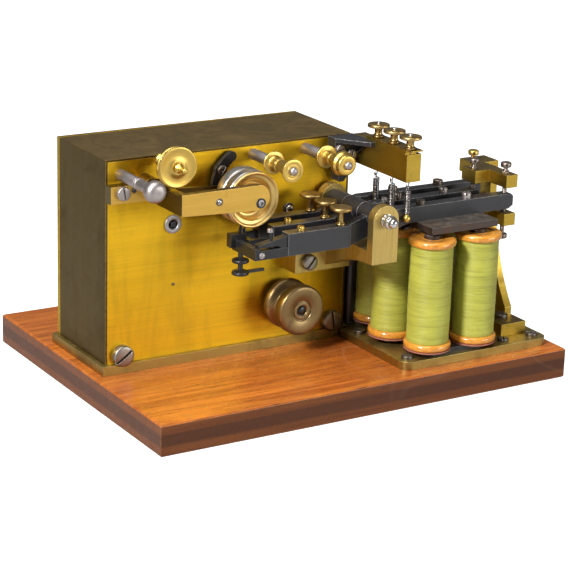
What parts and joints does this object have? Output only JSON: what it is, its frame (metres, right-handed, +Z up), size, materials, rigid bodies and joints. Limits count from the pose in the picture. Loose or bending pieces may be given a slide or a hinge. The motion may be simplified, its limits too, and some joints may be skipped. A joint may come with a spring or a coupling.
{
  "type": "telegraph recorder",
  "caption": "Clockwork telegraph tape recorder on a wooden base, with a brass case, a grooved tape roller, black lever arms and green silk-wound electromagnets.",
  "frame": {"origin": "centre of the base board's underside", "axes": "+X along the base board to the right as seen from the operator's side, +Y to the back, +Z up"},
  "size_m": [0.34, 0.256, 0.1915],
  "materials": {
    "mahogany": "varnished, worn at the edges",
    "lacquered_brass": "brushed and lacquered",
    "aged_brass": "tarnished",
    "knob_brass": "handled, slightly dull",
    "wheel_brass": "fine turned",
    "roller_brass": "turned, silvered tread",
    "bronzed_sheet": "dark bronze lacquer",
    "bronzed_pulley": "brown patina",
    "steel": "turned and polished",
    "spring_steel": "bare wire",
    "black_lacquer": "satin black lacquer",
    "dark_screws": "blued, worn",
    "soft_iron": "dark oxide",
    "green_silk": "silk-covered wire",
    "orange_flange": "glossy lacquer",
    "red_fibre": "vulcanised fibre"
  },
  "bodies": {
    "frame": {"base_board": "mahogany", "case_front_plate": "lacquered_brass", "case_back_plate": "lacquered_brass", "pivot_block": "lacquered_brass", "lever_bracket": "lacquered_brass", "case_foot_plate": "aged_brass", "case_pillars": "aged_brass", "magnet_plate": "aged_brass", "stop_post": "aged_brass", "stop_bars": "aged_brass", "spring_bar": "aged_brass", "stop_screws": "knob_brass", "case_cover": "bronzed_sheet", "front_plate_screws": "steel", "mounting_screws": "steel", "plate_bushes": "steel", "tape_posts": "steel", "pivot_axle": "steel", "spring_hooks": "steel", "spring_front": "spring_steel", "spring_mid": "spring_steel", "spring_rear": "spring_steel", "spring_bracket": "black_lacquer", "magnet_plate_screws": "dark_screws", "magnet_yokes": "soft_iron", "magnet_cores": "soft_iron", "coil_windings": "green_silk", "coil_bobbins": "orange_flange", "coil_washers": "red_fibre"},
    "swing_frame": {"swing_frame": "lacquered_brass", "frame_spindles": "steel"},
    "tape_roller": {"tape_roller": "roller_brass"},
    "disc_roller": {"disc_roller": "lacquered_brass"},
    "guide_roller_mid": {"guide_roller_mid": "lacquered_brass"},
    "guide_roller_right": {"guide_roller_right": "lacquered_brass"},
    "start_stop_lever": {"start_stop_lever": "black_lacquer"},
    "winding_arbor": {"winding_arbor": "steel"},
    "drive_arbor": {"drive_arbor": "steel", "drive_pulley": "bronzed_pulley"},
    "mainspring_barrel": {"mainspring_barrel": "wheel_brass", "mainspring": "spring_steel"},
    "second_arbor": {"second_arbor": "wheel_brass"},
    "third_arbor": {"third_arbor": "wheel_brass"},
    "fourth_arbor": {"fourth_arbor": "wheel_brass"},
    "governor": {"governor": "steel"},
    "lever_front": {"lever_front": "black_lacquer", "style_front": "black_lacquer", "armature_front": "soft_iron"},
    "thumb_screw_front": {"thumb_screw_front": "knob_brass"},
    "spring_knob_front": {"spring_knob_front": "knob_brass"},
    "lever_mid": {"lever_mid": "black_lacquer", "style_mid": "black_lacquer", "armature_mid": "soft_iron"},
    "thumb_screw_mid": {"thumb_screw_mid": "knob_brass"},
    "spring_knob_mid": {"spring_knob_mid": "knob_brass"},
    "lever_rear": {"lever_rear": "black_lacquer", "style_rear": "black_lacquer", "armature_rear": "soft_iron"},
    "thumb_screw_rear": {"thumb_screw_rear": "knob_brass"},
    "spring_knob_rear": {"spring_knob_rear": "knob_brass"}
  },
  "joints": [
    {"name": "lever_front_hinge", "type": "hinge", "parent": "frame", "child": "lever_front", "pos_m": [0.02, -0.086, 0.1335], "axis": [0, 1, 0], "range_deg": [0, 0.8], "stiffness_Nm_per_rad": 0.35, "springref_deg": -25.78, "deforming": ["spring_front"]},
    {"name": "lever_mid_hinge", "type": "hinge", "parent": "frame", "child": "lever_mid", "pos_m": [0.02, -0.066, 0.1335], "axis": [0, 1, 0], "range_deg": [0, 0.8], "stiffness_Nm_per_rad": 0.35, "springref_deg": -25.78, "deforming": ["spring_mid"]},
    {"name": "lever_rear_hinge", "type": "hinge", "parent": "frame", "child": "lever_rear", "pos_m": [0.02, -0.046, 0.1335], "axis": [0, 1, 0], "range_deg": [0, 0.8], "stiffness_Nm_per_rad": 0.35, "springref_deg": -25.78, "deforming": ["spring_rear"]},
    {"name": "swing_frame_hinge", "type": "hinge", "parent": "frame", "child": "swing_frame", "pos_m": [-0.13, -0.041, 0.1585], "axis": [0, -1, 0], "range_deg": [0, 2.8]},
    {"name": "tape_roller_spin", "type": "hinge", "parent": "swing_frame", "child": "tape_roller", "pos_m": [-0.0663, -0.057, 0.1495], "axis": [0, 1, 0], "continuous": true},
    {"name": "disc_roller_spin", "type": "hinge", "parent": "swing_frame", "child": "disc_roller", "pos_m": [-0.1216, -0.05, 0.1763], "axis": [0, 1, 0], "continuous": true},
    {"name": "guide_roller_mid_spin", "type": "hinge", "parent": "frame", "child": "guide_roller_mid", "pos_m": [-0.0438, -0.064, 0.1707], "axis": [0, 1, 0], "continuous": true},
    {"name": "guide_roller_right_spin", "type": "hinge", "parent": "frame", "child": "guide_roller_right", "pos_m": [-0.0003, -0.064, 0.1704], "axis": [0, 1, 0], "continuous": true},
    {"name": "start_stop_hinge", "type": "hinge", "parent": "frame", "child": "start_stop_lever", "pos_m": [-0.07237, -0.0295, 0.16312], "axis": [0, 1, 0], "range_deg": [0, 12]},
    {"name": "winding_spin", "type": "hinge", "parent": "frame", "child": "winding_arbor", "pos_m": [-0.10786, 0.01, 0.12682], "axis": [0, 1, 0], "continuous": true},
    {"name": "drive_spin", "type": "hinge", "parent": "frame", "child": "drive_arbor", "pos_m": [-0.0167, 0.01, 0.058], "axis": [0, 1, 0], "continuous": true},
    {"name": "barrel_spin", "type": "hinge", "parent": "frame", "child": "mainspring_barrel", "pos_m": [-0.10786, 0.01, 0.12682], "axis": [0, 1, 0], "continuous": true},
    {"name": "second_spin", "type": "hinge", "parent": "frame", "child": "second_arbor", "pos_m": [-0.0815, 0.01, 0.09259], "axis": [0, 1, 0], "continuous": true},
    {"name": "third_spin", "type": "hinge", "parent": "frame", "child": "third_arbor", "pos_m": [-0.05215, 0.01, 0.06425], "axis": [0, 1, 0], "continuous": true},
    {"name": "fourth_spin", "type": "hinge", "parent": "frame", "child": "fourth_arbor", "pos_m": [-0.015, 0.01, 0.09036], "axis": [0, 1, 0], "continuous": true},
    {"name": "governor_spin", "type": "hinge", "parent": "frame", "child": "governor", "pos_m": [-0.01309, 0.01, 0.1269], "axis": [0, 1, 0], "continuous": true},
    {"name": "thumb_screw_front_spin", "type": "hinge", "parent": "lever_front", "child": "thumb_screw_front", "pos_m": [-0.007, -0.086, 0.135], "axis": [0, 0, 1], "continuous": true},
    {"name": "thumb_screw_mid_spin", "type": "hinge", "parent": "lever_mid", "child": "thumb_screw_mid", "pos_m": [-0.007, -0.066, 0.135], "axis": [0, 0, 1], "continuous": true},
    {"name": "thumb_screw_rear_spin", "type": "hinge", "parent": "lever_rear", "child": "thumb_screw_rear", "pos_m": [-0.007, -0.046, 0.135], "axis": [0, 0, 1], "continuous": true},
    {"name": "spring_knob_front_spin", "type": "hinge", "parent": "frame", "child": "spring_knob_front", "pos_m": [0.044, -0.0935, 0.185], "axis": [0, 0, 1], "continuous": true},
    {"name": "spring_knob_mid_spin", "type": "hinge", "parent": "frame", "child": "spring_knob_mid", "pos_m": [0.044, -0.0735, 0.185], "axis": [0, 0, 1], "continuous": true},
    {"name": "spring_knob_rear_spin", "type": "hinge", "parent": "frame", "child": "spring_knob_rear", "pos_m": [0.044, -0.0535, 0.185], "axis": [0, 0, 1], "continuous": true}
  ],
  "couplings": [
    {"joint": "third_spin", "follows": "drive_spin", "ratio": -0.25},
    {"joint": "second_spin", "follows": "drive_spin", "ratio": 0.033333},
    {"joint": "barrel_spin", "follows": "drive_spin", "ratio": -0.0041667},
    {"joint": "fourth_spin", "follows": "drive_spin", "ratio": -3.5},
    {"joint": "governor_spin", "follows": "drive_spin", "ratio": 10.733}
  ]
}
